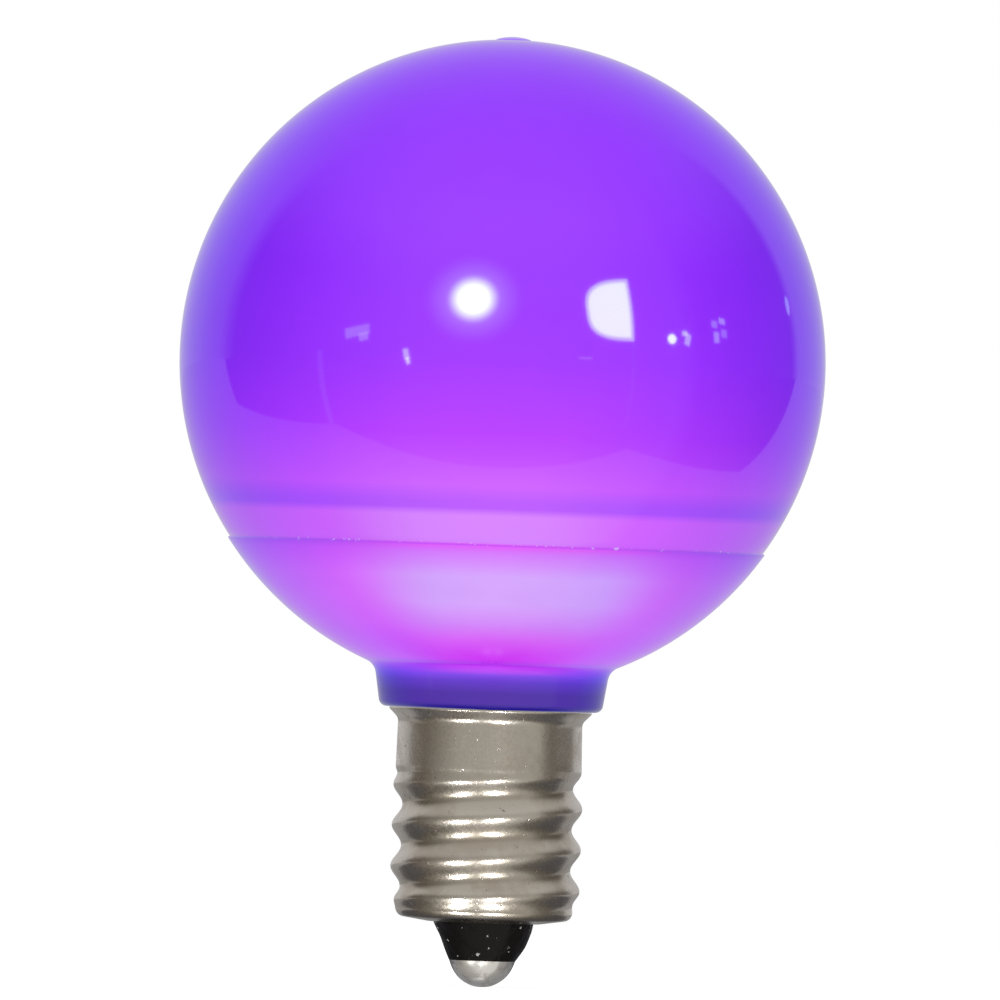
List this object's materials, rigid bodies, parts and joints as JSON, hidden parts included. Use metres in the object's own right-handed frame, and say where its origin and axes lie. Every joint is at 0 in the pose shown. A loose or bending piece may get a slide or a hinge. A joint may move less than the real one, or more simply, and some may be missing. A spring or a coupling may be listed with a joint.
{
  "type": "led globe bulb",
  "caption": "Small violet globe bulb with light-emitting diodes inside, on a candelabra screw base with a black insulator and a solder tip.",
  "frame": {"origin": "lowest point of the centre contact, on the bulb's axis, where the socket's middle contact touches it", "axes": "+Z along the bulb's axis, from the screw base to the top of the globe; the bulb is upright, as in the picture, and -Y faces the camera"},
  "size_m": [0.04, 0.04, 0.0588],
  "materials": {
    "violet_dome": "clear violet tinted plastic, polished, lit from inside",
    "violet_cup": "clear violet tinted plastic, polished, lit from inside",
    "shell_metal": "satin nickel-plated thin sheet",
    "black_insulator": "glossy black",
    "solder": "bright solder over a small eyelet",
    "white_board": "white solder mask on a thin rigid board",
    "emitter": "white package with a bright violet window",
    "black_package": "moulded black epoxy with tinned pins",
    "resistor_body": "lacquered body with tinned leads",
    "lead_metal": "bare tinned copper wire"
  },
  "bodies": {
    "root": {"globe_dome": "violet_dome", "globe_cup": "violet_cup", "screw_shell": "shell_metal", "insulator": "black_insulator", "centre_contact": "solder", "circuit_board": "white_board", "led_1": "emitter", "led_2": "emitter", "led_3": "emitter", "led_4": "emitter", "driver_chip": "black_package", "bridge_rectifier": "black_package", "fuse_resistor": "resistor_body", "shell_lead": "lead_metal"}
  },
  "joints": []
}
